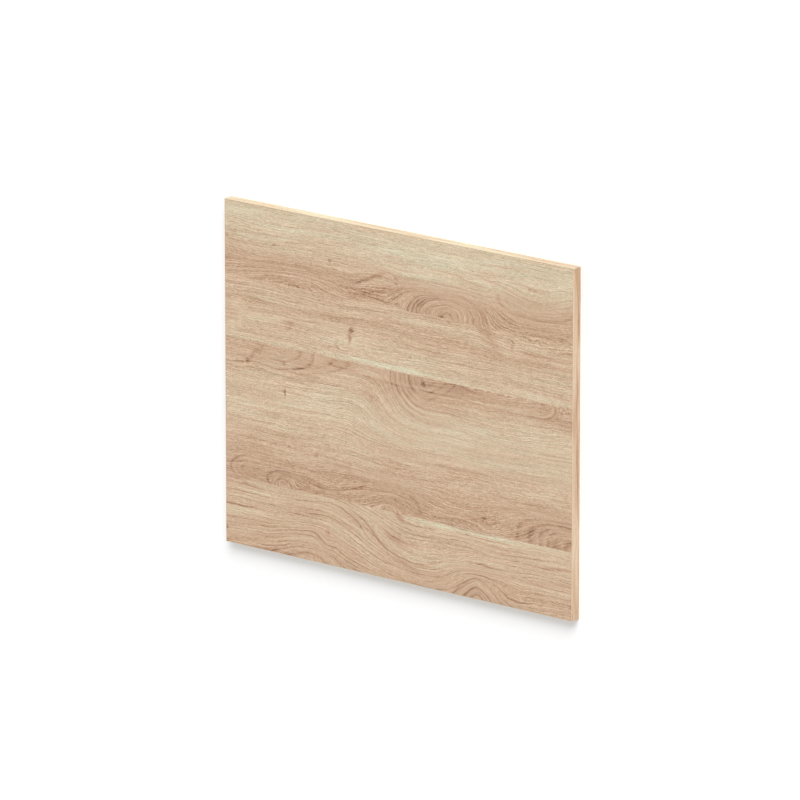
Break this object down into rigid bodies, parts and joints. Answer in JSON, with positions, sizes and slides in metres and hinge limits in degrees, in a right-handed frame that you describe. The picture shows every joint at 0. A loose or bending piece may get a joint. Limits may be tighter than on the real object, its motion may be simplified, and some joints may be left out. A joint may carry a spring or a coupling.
{
  "type": "bath end panel",
  "caption": "Flat rectangular bath end panel of wood-effect faced board, with an edging strip along each of its edges.",
  "frame": {"origin": "middle of the underside of the panel lying flat, which is the middle of its plain back face", "axes": "+X along the panel's width, to the right as seen from the show face; +Y along its height when fitted, towards the bath's rim; +Z out of the show face"},
  "size_m": [0.7, 0.56, 0.018],
  "materials": {
    "faced_board": "satin",
    "edging": "satin"
  },
  "bodies": {
    "root": {"board": "faced_board", "edging_top": "edging", "edging_bottom": "edging", "edging_left": "edging", "edging_right": "edging"}
  },
  "joints": []
}
